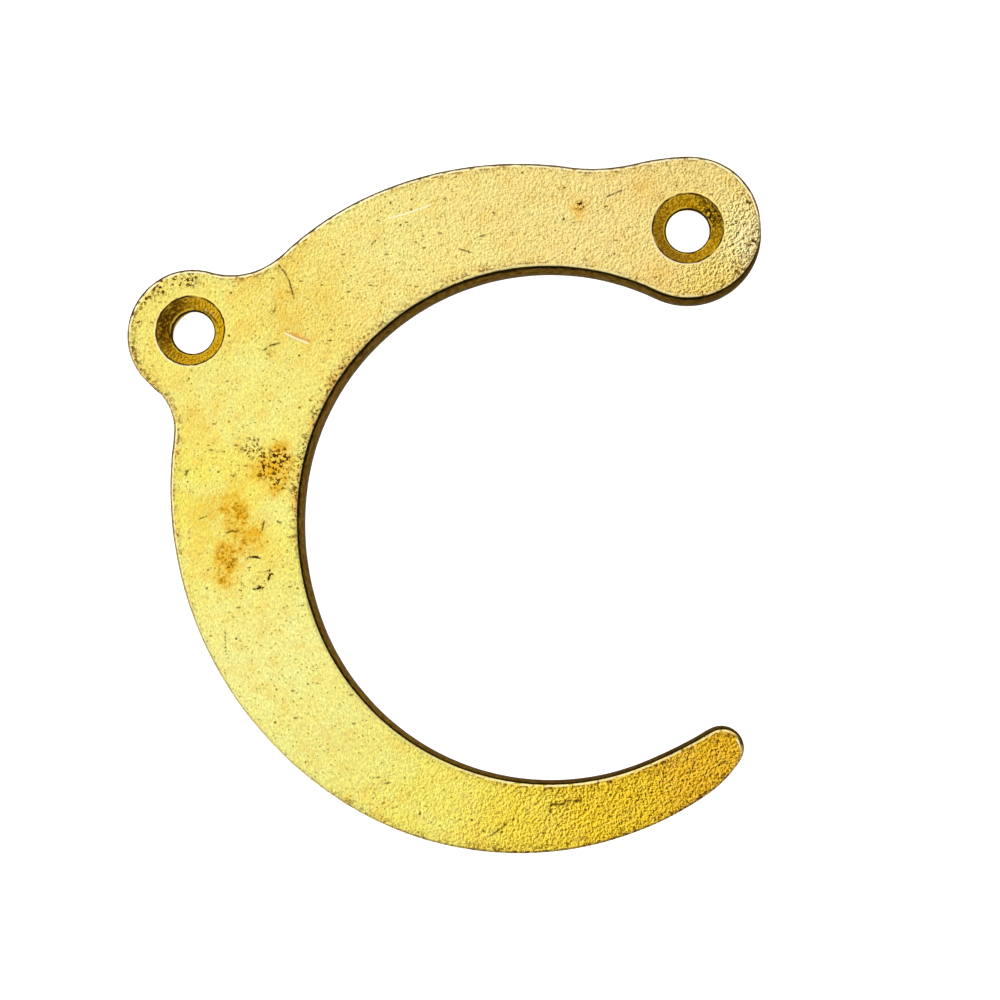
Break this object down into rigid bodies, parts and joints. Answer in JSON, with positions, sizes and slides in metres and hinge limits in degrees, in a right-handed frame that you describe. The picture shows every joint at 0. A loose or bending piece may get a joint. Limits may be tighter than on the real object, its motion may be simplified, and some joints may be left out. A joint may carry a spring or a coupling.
{
  "type": "watch movement holder",
  "caption": "C-shaped cast brass plate that holds a pocket-watch movement in its round opening; countersunk lugs at its ends take the screws that fix it to a bench fixture.",
  "frame": {"origin": "middle of the bounding box of the flat back face, with the back face on Z = 0", "axes": "+Z out of the countersunk front face, +X towards the mouth of the hook, +Y towards the right-hand lug along the plate's longest side"},
  "size_m": [0.0504, 0.0544, 0.003],
  "materials": {
    "brass": "cast and filed, satin, with fine pits, stains and worn edges"
  },
  "bodies": {
    "root": {"holder_plate": "brass"}
  },
  "joints": []
}
